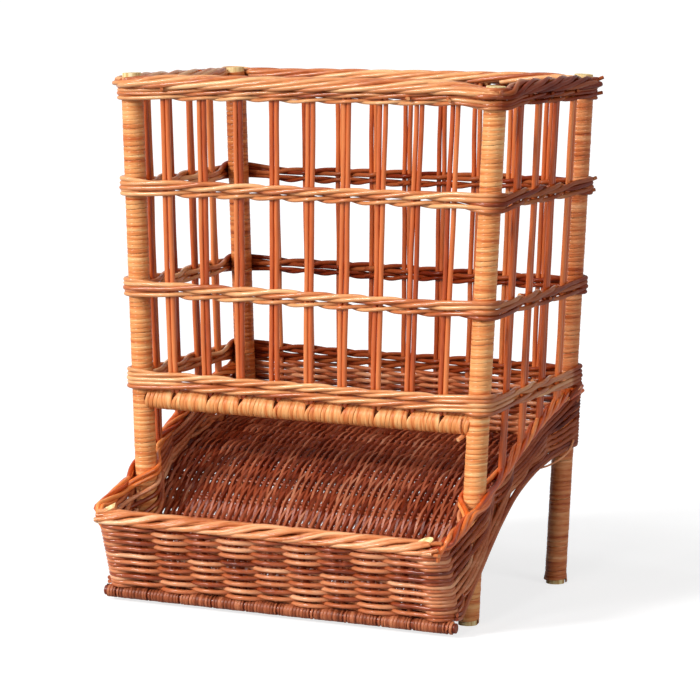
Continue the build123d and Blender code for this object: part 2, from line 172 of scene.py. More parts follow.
def willowSkein(name, tones, alongAxis, coatRoughness=0.24):
    # Skein, a split and shaved strip of willow, varnished: golden and glossier than the rods, with
    # hair-fine lines along the strip and a slow change of tone from turn to turn.
    material, tree = newMaterial(name)
    place = addNode(tree, "TexCoord", {}).outputs["Object"]
    turnScale = [3.0, 3.0, 3.0]
    turnScale[alongAxis] = 60.0
    turns = addNode(tree, "Mapping", {"Vector": place, "Scale": turnScale})
    tone = addNode(tree, "TexNoise", {"Vector": turns.outputs["Vector"], "Scale": 3.0, "Detail": 2.0})
    lineScale = [0.25, 0.25, 0.25]
    lineScale[alongAxis] = 6.0
    lines = addNode(tree, "Mapping", {"Vector": place, "Scale": lineScale})
    fine = addNode(tree, "TexNoise", {"Vector": lines.outputs["Vector"], "Scale": 320.0, "Detail": 2.0})
    total = weightedSum(tree, ((tone.outputs["Fac"], 0.8), (fine.outputs["Fac"], 0.25)))
    ramp = addNode(tree, "ValToRGB", {"Fac": total})
    colourStops(ramp, tones)
    finishShader(tree, {
        "Base Color": ramp.outputs["Color"], "Roughness": 0.5, "Specular IOR Level": 0.0,
        "Coat Weight": 0.36, "Coat Roughness": coatRoughness,
    }, fine.outputs["Fac"], 0.0002)
    return material


def peeledPole(name, tones):
    # A willow pole: peeled, it has pale end grain with faint streaks; given nearly black tones, it is painted shade.
    material, tree = newMaterial(name)
    place = addNode(tree, "TexCoord", {}).outputs["Object"]
    grain = addNode(tree, "Mapping", {"Vector": place, "Scale": (1.0, 1.0, 0.1)})
    fine = addNode(tree, "TexNoise", {"Vector": grain.outputs["Vector"], "Scale": 260.0, "Detail": 4.0})
    ramp = addNode(tree, "ValToRGB", {"Fac": fine.outputs["Fac"]})
    colourStops(ramp, list(zip((0.3, 0.5, 0.7), tones)))
    finishShader(tree, {
        "Base Color": ramp.outputs["Color"], "Roughness": 0.6, "Specular IOR Level": 0.0,
    }, fine.outputs["Fac"], 0.0004)
    return material


def wireSteel(name):
    # Bright drawn wire, dulled by the varnish over it.
    material, tree = newMaterial(name)
    place = addNode(tree, "TexCoord", {}).outputs["Object"]
    scratch = addNode(tree, "TexNoise", {"Vector": place, "Scale": 900.0, "Detail": 2.0})
    ramp = addNode(tree, "ValToRGB", {"Fac": scratch.outputs["Fac"]})
    colourStops(ramp, ((0.3, "#77787A"), (0.7, "#A5A6A8")))
    finishShader(tree, {
        "Base Color": ramp.outputs["Color"], "Metallic": 1.0, "Roughness": 0.4,
    }, scratch.outputs["Fac"], 0.0001)
    return material


rodTones = ((0.26, "#64200A"), (0.42, "#A04014"), (0.56, "#C05A28"), (0.74, "#D2723C"), (0.92, "#DC884E"))
waleTones = ((0.26, "#7E2E10"), (0.42, "#A8542A"), (0.56, "#C67442"), (0.74, "#DA9660"), (0.92, "#ECB680"))
wallTones = ((0.26, "#581C0A"), (0.40, "#8C3C1C"), (0.56, "#B46038"), (0.74, "#CC7E52"), (0.92, "#E6AA80"))
darkTones = ((0.26, "#441204"), (0.44, "#6C2610"), (0.60, "#8C4026"), (0.78, "#A4583A"), (0.92, "#B6785A"))
plaitTones = ((0.26, "#8E3C18"), (0.42, "#BC6838"), (0.58, "#D68A58"), (0.76, "#E6A878"), (0.92, "#F2C49A"))
orangeTones = ((0.26, "#8E2C0A"), (0.42, "#B64614"), (0.58, "#D26024"), (0.76, "#E27A3A"), (0.92, "#EC9450"))
skeinTones = ((0.35, "#BE5C2A"), (0.50, "#DE8E52"), (0.64, "#EAAE72"), (0.82, "#F6D09C"))
redderTones = ((0.35, "#A44A20"), (0.50, "#CA7442"), (0.64, "#DC925E"), (0.82, "#EEB488"))
shadeTones = ((0.35, "#8E3E16"), (0.50, "#B05C2A"), (0.64, "#C8763E"), (0.82, "#DA9058"))
barTones = ((0.35, "#5C2812"), (0.50, "#8C4628"), (0.62, "#AC6442"), (0.80, "#C98860"))

willowUpright = willowRod("buff_willow_stakes", rodTones, (1.0, 1.0, 0.12))
# the border, bands and walls take painted shade on the right and at the back
willowWeft = willowRod("buff_willow_border", waleTones, (0.25, 0.25, 1.0), darker=(0.262, 0.3))
willowBand = willowRod("buff_willow_weavers", waleTones, (0.25, 0.25, 1.0), darker=(0.258, 0.16))
willowTub = willowRod("buff_willow_chute", wallTones, (0.3, 0.3, 1.0), 0.5, 0.5, darker=(0.248, 0.4))
willowFloor = willowRod("buff_willow_floor", darkTones, (1.0, 0.2, 0.4), 0.5, 0.25)
willowPlait = willowRod("buff_willow_plait", plaitTones, (0.25, 0.25, 1.0), 0.5, 0.4)
willowOrange = willowRod("orange_willow_border", orangeTones, (1.0, 0.25, 0.25))
skeinUpright = willowSkein("willow_skein_posts", skeinTones, 2)
# darker tones for the back-left post: painted shade
skeinShade = willowSkein("painted_shade_willow_skein", shadeTones, 2)
skeinRedder = willowSkein("redder_willow_skein", redderTones, 2)
skeinAcross = willowSkein("willow_skein_rail", skeinTones, 0, 0.4)
skeinDark = willowSkein("willow_skein_bar", barTones, 0, 0.4)
willowPole = peeledPole("peeled_willow_pole", ("#C99A5E", "#E9CF96", "#F6E8BC"))
# nearly black: painted shade of the stake holes, seen where the rail's skein parts
shadeDarkPole = peeledPole("willow_pole_in_bark", ("#2A0F08", "#3F1A0E", "#582A18"))
nailSteel = wireSteel("wire_nail_steel")
print("materials ready")


# Laying rods: every rod is a bevelled curve through the places where it passes a stake

def bentThrough(stops, step):
    # a springy rod's line through its stops
    stops = [Vector(stop) for stop in stops]
    line = []
    last = len(stops) - 1
    for i in range(last):
        a, b = stops[i], stops[i + 1]
        before, after = stops[max(i - 1, 0)], stops[min(i + 2, last)]
        run = (b - a).length
        leave = (b - before) * (run / (run + (a - before).length))
        reach = (after - a) * (run / (run + (after - b).length))
        count = max(2, math.ceil(run / step))
        for n in range(count):
            t = n / count
            line.append(a * (2 * t**3 - 3 * t**2 + 1) + leave * (t**3 - 2 * t**2 + t)
                        + b * (3 * t**2 - 2 * t**3) + reach * (t**3 - t**2))
    line.append(stops[last])
    return line


def selectOnly(piece):
    bpy.ops.object.select_all(action="DESELECT")
    piece.select_set(True)
    bpy.context.view_layer.objects.active = piece


def finishPiece(piece, angle, material, nodes):
    bpy.ops.object.mode_set(mode="EDIT")
    bpy.ops.mesh.select_all(action="SELECT")
    bpy.ops.mesh.normals_make_consistent(inside=False)
    bpy.ops.object.mode_set(mode="OBJECT")
    bpy.ops.object.shade_smooth_by_angle(angle=math.radians(angle))
    # the cut ends of rods are bare willow, the only faces with more than four corners
    piece.data.materials.clear()
    piece.data.materials.append(material)
    piece.data.materials.append(willowPole)
    for face in piece.data.polygons:
        face.material_index = 1 if len(face.vertices) > 4 else 0
    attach(piece, "root")
    if nodes:
        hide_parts(*nodes)


def layRods(name, rods, material, nodes, sides=8, cut=None):
    # rods are (line in millimetres, butt radius, tip radius); each tapers from its butt to its tip,
    # and cut is a place and direction of a slanting cut
    curve = bpy.data.curves.new(name, "CURVE")
    curve.dimensions = "3D"
    curve.bevel_depth = metre
    curve.bevel_resolution = sides // 2 - 2
    curve.use_fill_caps = True
    for line, butt, tip in rods:
        spline = curve.splines.new("POLY")
        spline.points.add(len(line) - 1)
        spline.points.foreach_set("co", [v for p in line for v in (p.x * metre, p.y * metre, p.z * metre, 1.0)])
        radii = [mixed(butt, tip, i / (len(line) - 1)) for i in range(len(line))]
        spline.points.foreach_set("radius", radii)
        spline.use_smooth = True
    piece = bpy.data.objects.new(name, curve)
    bpy.context.scene.collection.objects.link(piece)
    selectOnly(piece)
    bpy.ops.object.convert(target="MESH")
    bpy.ops.object.mode_set(mode="EDIT")
    bpy.ops.mesh.select_all(action="SELECT")
    bpy.ops.mesh.remove_doubles(threshold=1e-6)
    if cut:
        bpy.ops.mesh.bisect(plane_co=Vector(cut[0]) * metre, plane_no=cut[1], use_fill=True, clear_outer=True)
    finishPiece(piece, 50, material, nodes)
    print("laid", name, len(rods), "rods,", len(piece.data.polygons), "faces")
    return piece


def clearOfPosts(p, reach):
    # a rod that would run into a post is bent round it
    for side in (-1, 1):
        for y in (frontY, backY):
            away = Vector((p.x - side * halfWidth(p.z), p.y - y, 0))
            if 1e-6 < away.length < reach:
                p = p + away * (reach / away.length - 1)
    return p


def rodLine(stops, step, radius):
    # a rod's line through its stops, clear of the posts
    return [clearOfPosts(p, postRadius + radius + 0.2) for p in bentThrough(stops, step)]


# The stations that a weaver meets on its way round, from the back left post, left to right as seen
# from outside: posts and pairs of stakes, each with its middle and the way outward.

def pairShares():
    count = basket["frontPairs"]
    return [2 * (i + 1) / (count + 1) - 1 for i in range(count)]


def frontShares():
    drift = basket["pairDrift"] / halfWidth(basket["driftAt"])
    return [s + (1 - s * s) * drift for s in pairShares()]


def sidePlaces():
    count = basket["sidePairs"]
    return [frontY + (backY - frontY) * (i + 1) / (count + 1) for i in range(count)]


def stations(z):
    half, out = halfWidth(z), basket["stakeOffset"]
    left = [("pair", -half - out, y, -1, 0) for y in reversed(sidePlaces())]
    front = [("pair", s * half, frontY - out, 0, -1) for s in frontShares()]
    right = [("pair", half + out, y, 1, 0) for y in sidePlaces()]
    back = [("pair", s * half, backY + out, 0, 1) for s in reversed(pairShares())]
    start = ("post", -half, backY, -1, 1)
    found = [start, *left, ("post", -half, frontY, -1, -1), *front, ("post", half, frontY, 1, -1), *right,
             ("post", half, backY, 1, 1), *back, start]
    return [(kind, Vector((x, y, z)), Vector((outX, outY, 0))) for kind, x, y, outX, outY in found]


def aroundPost(middle, outward, reach, rise):
    # three stops round the outside of a post
    turn = math.atan2(outward.y, outward.x)
    return [middle + reach * Vector((math.cos(turn + a), math.sin(turn + a), 0)) + rise * toTop
            for a in (-math.pi / 4, 0, math.pi / 4)]


waling = {"spread": 0.95, "step": 0.5, "joinAfter": 620, "joinWithin": 180, "tail": 9, "tailDepth": 2.5}


def waleRods(z, count, radius, rise, seed, pull):
    # one round of waling: each rod runs in front of all stakes but one, and rises as it goes; two
    # rods twist in pairing. Rods are joined behind a stake after about a metre.
    found = []
    gap = stakeRadius + radius
    for rod in range(count):
        stops, length, turn = [], 0.0, rod
        roundTrip = stations(z)
        for i, (kind, middle, outward) in enumerate(roundTrip):
            sway = wander(seed, i * 0.7 + rod, 1.6) * toTop
            phase = turn % count
            if kind == "post":
                level = (phase - 1 if phase else count - 1) - (count - 1) / 2
                reach = postRadius + radius + 0.4 + waling["step"] * (phase % 2)
                new = aroundPost(middle, outward, reach, level * rise * waling["spread"] + sway.z)
            else:
                high = ((phase - 1) / max(count - 2, 1) - 0.5) * rise if count > 2 and phase else 0.0
                high += 0.0 if phase else pull
                depth = -gap if phase == 0 else gap + 0.3
                new = [middle + outward * depth + high * toTop + sway]
                turn += 1
                if i + 1 < len(roundTrip) and roundTrip[i + 1][0] == "pair":
                    nextMiddle = roundTrip[i + 1][1]
                    # half-way to the next stake the rod crosses over, or goes on in front
                    crossing = {0: (0.0, -rise / 2), count - 1: (0.0, rise / 2)}
                    depth, lean = crossing.get(phase, (gap + 0.6, 0.0))
                    new.append((middle + nextMiddle) / 2 + outward * depth + lean * toTop + sway)
            stops += new
            if len(stops) > len(new):
                length += (stops[-1] - stops[-1 - len(new)]).length
            behind = kind == "pair" and phase == 0
            if (behind and length > waling["joinAfter"] + waling["joinWithin"] * random.random()
                    and i < len(roundTrip) - 4):
                along = (nextMiddle - middle).normalized() if roundTrip[i + 1][0] == "pair" else Vector()
                along *= waling["tail"]
                tail = middle - outward * (gap + waling["tailDepth"])
                found.append((stops[:-1] + [tail + along + sway], radius * 1.06, radius * 0.9))
                stops = [tail - along + 1.5 * toTop, middle - outward * gap + sway, stops[-1]]
                length = 0.0
        found.append((stops, radius * 1.04, radius * 0.92))
    return [(rodLine(stops, 6.0, radius), butt, tip) for stops, butt, tip in found]


# Wrapping: one flat strip wound round each pole. A strip is modelled once upright, then every
# corner is placed by its turn, so that turns can wander, part or flare.

def woundStrip(name, length, shape):
    # the strip's section, flat with rounded edges, screwed up the Z axis
    crown, side = shape["crown"], shape["width"] / 2
    section = [(shape["inner"], -side), (crown - 0.36, -side), (crown - 0.1, -side * 0.88), (crown, -side * 0.5),
               (crown, side * 0.5), (crown - 0.1, side * 0.88), (crown - 0.36, side), (shape["inner"], side)]
    bpy.ops.object.select_all(action="DESELECT")
    bpy.ops.mesh.primitive_circle_add(vertices=len(section), radius=metre, fill_type="NGON")
    strip = bpy.context.object
    strip.name = name
    for corner, (x, z) in zip(strip.data.vertices, section):
        corner.co = (x * metre, 0, z * metre)
    screw = strip.modifiers.new("wind", "SCREW")
    screw.axis = "Z"
    screw.screw_offset = shape["pitch"] * metre
    screw.iterations = int((length - shape["width"]) / shape["pitch"])
    screw.steps = screw.render_steps = shape["steps"]
    screw.use_normal_calculate = True
    screw.use_merge_vertices = True
    bpy.ops.object.modifier_apply(modifier="wind")
    return strip, len(section)


def placeStrip(wound, shape, move, material, nodes):
    # move takes a corner's place round the axis, its turn, and its offset from the strip's middle
    strip, corners = wound
    for i, corner in enumerate(strip.data.vertices):
        turn = (i // corners) / shape["steps"]
        spot = corner.co / metre
        corner.co = move(spot.x, spot.y, turn, spot.z - turn * shape["pitch"]) * metre
    selectOnly(strip)
    finishPiece(strip, 40, material, nodes)
    print("wound", strip.name, len(strip.data.polygons), "faces")


def parted(x, offset, stops, push, reach, share):
    # where a turn goes that is pushed aside, and the strip's narrowed offset
    for stop in stops:
        near = math.exp(-((x - stop) / reach) ** 2) * share
        if near > 0.01:
            return x + math.copysign(push, x - stop) * near, offset * (1 - 0.4 * near)
    return x, offset


postSkein = {"inner": 12.25, "crown": 14.0, "pitch": 5.7, "width": 5.6, "steps": 20}
postTops = {"front_left": (-1, frontY, 670), "front_right": (1, frontY, 670),
            "back_left": (-1, backY, 667), "back_right": (1, backY, 670)}
for seed, (corner, (side, y, top)) in enumerate(postTops.items()):
    wound = woundStrip(corner + "_skein_winding", top - 6, postSkein)

    def onPost(x0, y0, turn, offset, side=side, y=y, seed=seed, corner=corner):
        height = 4.5 + postSkein["pitch"] * turn + offset + wander(seed + 1, turn * 0.4, 1.5) + 0.05 * y0
        loose = 1 + wander(seed + 5, turn * 0.9, 0.022)
        if corner == "back_right" and height < 16:
            loose += 0.15 * (1 - height / 16)  # the frayed collar at this foot
        return Vector((side * halfWidth(height) + x0 * loose, y + y0 * loose, height))

    # the back-left post takes the darker skein, painted shade
    finish = {"back_left": skeinShade, "back_right": skeinRedder}.get(corner, skeinUpright)
    placeStrip(wound, postSkein, onPost, finish, [corner + "_post_skein"])
print("posts wound")

# Front rail and bottom bar

rail = {"z": 252.12, "halfLength": 231.0, "push": 4.6, "reach": 8.0, "slant": 0.16, "notch": Vector((0.84, -0.54))}
railSkein = {**postSkein, "pitch": 5.6, "width": 5.5}
railStakes = [s * halfWidth(262) for s in frontShares()]
wound = woundStrip("front_rail_skein_winding", 2 * rail["halfLength"], railSkein)
firstQuarter = wound[0].data.vertices[(railSkein["steps"] // 4) * wound[1]].co.y
notchTurn = math.copysign(1, firstQuarter) * math.atan2(rail["notch"].y, rail["notch"].x) / (2 * math.pi)


def onRail(up, front, turn, offset):
    # the turns part at the top front where each pair of stakes goes into the rail
    whole = round(turn - notchTurn) + notchTurn
    share = max(0.0, (up * rail["notch"].x + front * rail["notch"].y) / 14) ** 4
    lie = railSkein["pitch"] * (turn - whole)
    start = railSkein["pitch"] * whole - rail["halfLength"] + wander(4, whole * 0.4, 1.2)
    x, offset = parted(start + 4.0, offset, railStakes, rail["push"], rail["reach"], share)
    loose = 1 + wander(11, turn * 0.9, 0.02)
    return Vector((x + lie + offset + rail["slant"] * up, frontY + front * loose, rail["z"] + up * loose))


placeStrip(wound, railSkein, onRail, skeinAcross, ["front_rail_skein"])

bar = {"y": frontY - 81.0, "z": 12.3, "halfLength": 244.5, "push": 0.9, "reach": 6.0}
barSkein = {"inner": 6.5, "crown": 8.3, "pitch": 4.6, "width": 4.4, "steps": 16}
barStakes = [(2 * (i + 1) / 10 - 1) * 230.7 + 4 for i in range(-1, 10)]
wound = woundStrip("bottom_bar_skein_winding", 2 * bar["halfLength"], barSkein)


def onBar(up, front, turn, offset):
    start = barSkein["pitch"] * turn - bar["halfLength"] + 2.3 + wander(8, turn * 0.4, 1.2)
    x, offset = parted(start, offset, barStakes, bar["push"], bar["reach"], 1.0)
    loose = 1 + wander(12, turn * 0.8, 0.05)
    return Vector((x + offset, bar["y"] + front * loose, bar["z"] + up * loose))


placeStrip(wound, barSkein, onBar, skeinDark, ["bottom_bar_skein"])
print("rail and bar wound")

# Upright stakes

stakes = {"half": 3.45, "sway": 1.5, "top": 655.0, "between": 42.0, "bend": 0.012}


def pairRods(seed, foot, along, share, outward, enters=0.0):
    # two rods side by side, each with its own slow bends; share leans them with the posts, and
    # enters is how far their feet turn in to reach the hole in the rail
    found = []
    for side in (-1, 1):
        stops = []
        count = math.ceil((stakes["top"] - foot.z) / stakes["between"])
        for i in range(count + 1):
            height = mixed(foot.z, stakes["top"], i / count)
            shift = share * (halfWidth(height) - halfWidth(foot.z)) * toRight
            slow = height * stakes["bend"]
            sway = along * (side * stakes["half"] + wander(seed * 2 + side, slow, stakes["sway"]))
            sway += outward * wander(seed * 3 + side + 40, slow, 0.8)
            if i == 0:
                sway -= outward * enters
            stops.append(Vector((foot.x, foot.y, height)) + shift + sway)
        if enters:
            stops.insert(1, stops[0] * 0.62 + stops[1] * 0.38 + outward * enters * 0.25)
        found.append((bentThrough(stops, 12.0), stakeRadius * 1.02, stakeRadius * 0.95))
    return found


# Floor of the chute and side borders: height at places along the depth, from the front posts
chute = {
    "floorUnder": ((-74, 8), (-60, 20.3), (-40, 39.2), (-16, 62.2), (0, 77.3), (16, 91.9), (40, 112.2), (60, 127.1),
                   (80, 139.9), (100, 150.4), (120, 158.9), (150, 168.4), (200, 178), (250, 182.2), (290, 183)),
    "borderUnder": ((-113, 112), (-95, 116.4), (-60, 126.3), (-30, 137.8), (0, 151), (40, 169.3), (80, 187.5),
                    (120, 205), (165, 223), (200, 234.5), (240, 243.6), (306, 250.5)),
    "floorThickness": 13.0,
}


def heightOn(profile, y):
    reach = y - frontY
    if reach <= profile[0][0]:
        return profile[0][1]
    for (y0, z0), (y1, z1) in zip(profile, profile[1:]):
        if reach <= y1:
            return mixed(z0, z1, (reach - y0) / (y1 - y0))
    return profile[-1][1]


out = basket["stakeOffset"]
feet = {"front": 259, "back": 190, "enters": 6.0}  # heights of the stakes' feet, in the rail and the back wall
pairs = []
for i, s in enumerate(frontShares()):
    foot = Vector((s * halfWidth(feet["front"]), frontY - out, feet["front"]))
    pairs += pairRods(i, foot, toRight, s, -toBack, feet["enters"])
layRods("front_stake_rods", pairs, willowUpright, ["front_stakes"], 10)
pairs = []
for i, s in enumerate(pairShares()):
    foot = Vector((s * halfWidth(feet["back"]), backY + out, feet["back"]))
    pairs += pairRods(i + 20, foot, toRight, s, toBack)
layRods("back_stake_rods", pairs, willowUpright, ["back_stakes"], 10)
for word, side in (("left", -1), ("right", 1)):
    pairs = []
    for i, y in enumerate(sidePlaces()):
        z = heightOn(chute["floorUnder"], y) + 1
        foot = Vector((side * (halfWidth(z) + out), y, z))
        pairs += pairRods(i + 40 + 10 * side, foot, toBack, side, side * toRight)
    layRods(word + "_stake_rods", pairs, willowUpright, [word + "_stakes"], 10)
print("stakes stand")

# The bands round the cage: rounds of waling (three rods) and pairing (two rods)

topTilt = (4.2, -3.2)
bands = {
    "top_wale": (topTilt, ((648.0, 3, 2.6, 4.6), (640.6, 2, 2.5, 3.8))),
    "upper_wale": ((3.0, -2.0), ((528.8, 3, 3.2, 5.6), (518.4, 2, 2.8, 4.6))),
    "middle_wale": ((0.0, 0.5), ((399.8, 3, 3.2, 5.6), (389.4, 2, 2.8, 4.6))),
    "lower_wale": ((0.0, 0.0), ((283.4, 3, 2.9, 5.4), (272.0, 3, 2.9, 5.4))),
}
for number, (name, (tilt, rounds)) in enumerate(bands.items()):
    rods = []
    for z, count, radius, rise in rounds:
        # behind a stake the two rounds close up
        pull = 0.18 * (rounds[0][0] + rounds[1][0] - 2 * z)
        rods += waleRods(z, count, radius, rise, number * 3 + z * 0.01, pull)
    rods = [([p + tilted(p, tilt) * toTop for p in line], butt, tip) for line, butt, tip in rods]
    layRods(name + "_rods", rods, willowBand, [name])
print("bands woven")

# Walls of the chute and tray: rods go round the front, the sides and the back, in and out of the
# stakes. Rods drop out where the side walls are low, and more join in towards the back.

tray = {
    "footZ": 20.9, "headZ": 108.7, "footY": bar["y"], "lean": 0.3645, "stickX": 230.7, "stickRadius": 5.0,
    "stakes": 9, "borderY": frontY - 113.0, "cornerRound": 14.0, "flat": 0.24,
    "sideStakes": ((-36.0, -46.0), (-56.0, -80.0)),
}
wall = {
    "radius": 2.85, "through": 12, "sideDepth": 0.8, "edge": 7.0, "backHeights": (191.0, 266.5),
    "edgeOutside": 17.3, "edgeRise": (3.1, 8.5),
    "frontEnds": (30, -48, 52, -12, 38, 20, 46),
    "backStarts": (262, 160, 284, 215, 278, 240),
}
# every row has its share of the wall's height and the reach, from the front posts, it lives in
rows = [((k + 0.5) / wall["through"], -200, 400) for k in range(wall["through"])]
rows += [((k + 0.45) / len(wall["frontEnds"]), -200, end) for k, end in enumerate(wall["frontEnds"])]
rows += [((k + 0.55) / len(wall["backStarts"]), start, 400) for k, start in enumerate(wall["backStarts"])]
rows.sort()


def rankOf(row, reach):
    # the row's place among the rows that reach here, and how many there are
    here = [r for r in rows if r[1] <= reach <= r[2]]
    return here.index(row), len(here)


def wallFoot(y):
    return max(heightOn(chute["floorUnder"], y), tray["footZ"] - 1.5)


def rowHeight(y, rank, count):
    # the rows share out the wall's height, from just above its foot to its border
    low, high = wallFoot(y) + wall["edge"], heightOn(chute["borderUnder"], y) + 1.5
    return mixed(low, high, (rank + 0.5) / count)


def sideStops(row, side):
    # stops of one row on a side wall, from the tray's corner to the back post
    gap = stakeRadius + wall["radius"]
    places = [(reach, "tray") for reach in reversed(tray["sideStakes"])]
    places += [(0.0, "post")] + [(y - frontY, "stake") for y in sidePlaces()]
    stops = []
    for i, (reach, kind) in enumerate(places):
        if kind == "tray":
            reach = mixed(reach[0], reach[1], row[0])
        if not row[1] <= reach <= row[2]:
            continue
        rank, count = rankOf(row, reach)
        y = frontY + reach
        z = rowHeight(y, rank, count) + wander(row[0] * 40 + side, reach * 0.02, 0.9)
        if kind == "post":
            # every third row goes inside the front post, but none so low that it meets the floor
            past = postRadius + wall["radius"] + 0.3
            inside = rank % 3 == 2 and rank > 2
            stops.append(Vector((side * (halfWidth(z) + (-past if inside else past)), y, z)))
        else:
            depth = wall["sideDepth"] * (gap if (i + rank) % 2 else -gap)
            stops.append(Vector((side * (halfWidth(z) + out + depth), y, z)))
    for end in row[1:]:
        if -100 < end < 290:
            rank, count = rankOf(row, end)
            y = frontY + end
            z = rowHeight(y, rank, count)
            stops.append(Vector((side * (halfWidth(z) + 5.0), y, z)))
    return sorted(stops, key=lambda p: p.y)


def trayFrontStops(row):
    # stops across the tray's leaning front, flat over each stake, and round both corner sticks
    rank, count = rankOf(row, -150)
    z = mixed(tray["footZ"] - 1.0, tray["headZ"] + 1.0, (rank + 0.5) / count)
    middle = tray["footY"] - (z - tray["footZ"]) * tray["lean"]
    gap = stakeRadius + wall["radius"]
    pitch = 2 * tray["stickX"] / (tray["stakes"] + 1)
    hold = tray["stickRadius"] + wall["radius"] + 0.2 + tray["cornerRound"]
    stops = []
    for side in (-1, 1):
        corner = Vector((side * (tray["stickX"] - tray["cornerRound"]), middle + tray["cornerRound"], z))
        turn = [corner + hold * Vector((side * math.cos(a), math.sin(a), 0)) for a in (0.1, -0.5, -1.05, -1.5)]
        if side == -1:
            stops += turn
            for i in range(tray["stakes"]):
                depth = gap if (i + rank) % 2 else -gap
                uneven = wander(row[0] * 50, i * 0.9, 1.1)
                for beside in (-tray["flat"], tray["flat"]):
                    stops.append(Vector((-tray["stickX"] + (i + 1 + beside) * pitch, middle - depth, z + uneven)))
        else:
            stops += reversed(turn)
    return stops


def backStops(row):
    # stops across the back wall, right to left, round both back posts
    rank, count = rankOf(row, 320)
    z = mixed(*wall["backHeights"], (rank + 0.5) / count)
    gap = stakeRadius + wall["radius"]
    reach = postRadius + wall["radius"] + 0.3
    stops = aroundPost(Vector((halfWidth(z), backY, z)), Vector((1, 1, 0)), reach, 0)
    for i, s in enumerate(reversed(pairShares())):
        depth = gap if (i + rank) % 2 else -gap
        stops.append(Vector((s * halfWidth(z), backY + out + depth, z + wander(row[0] * 60, i, 0.8))))
    stops += aroundPost(Vector((-halfWidth(z), backY, z)), Vector((-1, 1, 0)), reach, 0)
    return stops


wallRods = []
for row in rows:
    left, right = sideStops(row, -1), sideStops(row, 1)
    front = trayFrontStops(row) if row[1] < -150 else []
    back = backStops(row) if row[2] > 320 else []
    if front and back:
        # the round closes just short of the stake that it started from
        back.append(left[-1] + 9 * toBack)
    stops = left[::-1] + front + right + back if front else right + back + left[::-1]
    radius = wall["radius"] * (1 + wander(3, row[0] * 31, 0.12))
    wallRods.append((rodLine(stops, 6.5, radius), radius * 1.05, radius * 0.95))


def onEdge(strand, side, y):
    z = wallFoot(y) + wall["edgeRise"][strand] + wander(strand + side, y * 0.02, 1.0)
    return Vector((side * (halfWidth(z) + wall["edgeOutside"]), y, z))


# two more rods lie along the outside of the walls' lower edge, from one side round to the other
for strand in (0, 1):
    ys = [frontY + mixed(-76.0, 270.0, i / 24) for i in range(25)]
    z = onEdge(strand, 1, backY).z
    half = halfWidth(z)
    reach = wall["edgeOutside"] + 0.1
    turns = [aroundPost(Vector((side * half, backY, z)), Vector((side, 1, 0)), reach, 0)[::-1] for side in (-1, 1)]
    across = [Vector((mixed(-half, half, i / 14), backY + wall["edgeOutside"], z + wander(strand + 5, i * 0.5, 1.0)))
              for i in range(1, 14)]
    ways = [[onEdge(strand, side, y) for y in ys] for side in (-1, 1)]
    stops = ways[0] + turns[0] + across + turns[1] + ways[1][::-1]
    wallRods.append((bentThrough(stops, 6.5), wall["radius"] * 0.95, wall["radius"] * 0.9))
layRods("tub_wall_weave", wallRods, willowTub,
        ["tray_front_wall", "tub_left_wall", "tub_right_wall", "tub_back_wall"])
print("walls woven")

# Floor: thin rods from front to back, over and under the cross sticks

floorWeave = {"pitch": 4.5, "radius": 3.15, "lift": 2.7, "sticks": 12, "stickRadius": 2.7, "past": 11.5}


def runningLengths(line):
    runs = [0.0]
    for a, b in zip(line, line[1:]):
        runs.append(runs[-1] + (b - a).length)
    return runs


# the middle of the floor's thickness, at even steps of its length
stops = [Vector((0, frontY + y, z + chute["floorThickness"] / 2)) for y, z in chute["floorUnder"]]
middleLine = bentThrough(stops, 2.0)
lengths = runningLengths(middleLine)


def onFloor(distance):
    # place and upward direction at a distance along the floor
    for i in range(1, len(lengths)):
        if lengths[i] >= distance or i == len(lengths) - 1:
            a, b = middleLine[i - 1], middleLine[i]
            share = (distance - lengths[i - 1]) / (lengths[i] - lengths[i - 1])
            run = (b - a).normalized()
            return mixed(a, b, share), Vector((0, -run.z, run.y))


floorLength = lengths[-1]
count = int(2 * (halfWidth(120) - 1) / floorWeave["pitch"])
floorRods = []
for i in range(-2, count + 2):
    # the first two and the last two lie against and in the side walls
    across = 2 * (i + 0.5) / count - 1
    stops = []
    radius = floorWeave["radius"] * (1 + 0.07 * math.sin(i * 1.9))
    for k in range(-1, floorWeave["sticks"] + 1):
        distance = min(max((k + 0.5) / floorWeave["sticks"], 0.006), 0.992) * floorLength
        place, up = onFloor(distance)
        lift = 0.0 if k in (-1, floorWeave["sticks"]) else floorWeave["lift"] * (1 if (i + k) % 2 else -1)
        place = place + up * lift
        x = across * halfWidth(place.z) + wander(i * 0.37, distance * 0.02, 1.1)
        stops.append(Vector((x, place.y, place.z)))
    stops.append(stops[-1] + floorWeave["past"] * toBack)  # under the back wall
    floorRods.append((rodLine(stops, 8.0, radius), radius * 1.05, radius * 0.95))
layRods("floor_weave", floorRods, willowFloor, ["tub_floor"], 6)
sticks = []
for k in range(floorWeave["sticks"]):
    place, up = onFloor((k + 0.5) / floorWeave["sticks"] * floorLength)
    half = halfWidth(place.z) + 8
    if min(abs(place.y - frontY), abs(place.y - backY)) < postRadius + 6:
        half = halfWidth(place.z) - postRadius - 1.5
    along = Vector((0, up.z, -up.y))
    for beside in (-1, 1):
        middle = place + along * (beside * floorWeave["stickRadius"])
        stops = [middle + x * half * toRight + up * wander(k + 60 * beside, x, 0.8)
                 for x in (-1, -0.6, -0.2, 0.2, 0.6, 1)]
        sticks.append((bentThrough(stops, 24.0), floorWeave["stickRadius"] * 1.03, floorWeave["stickRadius"] * 0.97))
layRods("floor_stick_rods", sticks, willowFloor, ["floor_sticks"])
print("floor woven")

# Borders

def alongLine(places, outwards, pitch):
    # a finder of the place and the way outward at a number of pitches along a line of places
    runs = runningLengths(places)

    def at(position):
        distance = min(max(position * pitch, 0.0), runs[-1] - 1e-4)
        i = max(k for k in range(len(runs) - 1) if runs[k] <= distance)
        share = (distance - runs[i]) / (runs[i + 1] - runs[i])
        return mixed(places[i], places[i + 1], share), mixed(outwards[i], outwards[i + 1], share).normalized()

    return at, runs[-1] / pitch


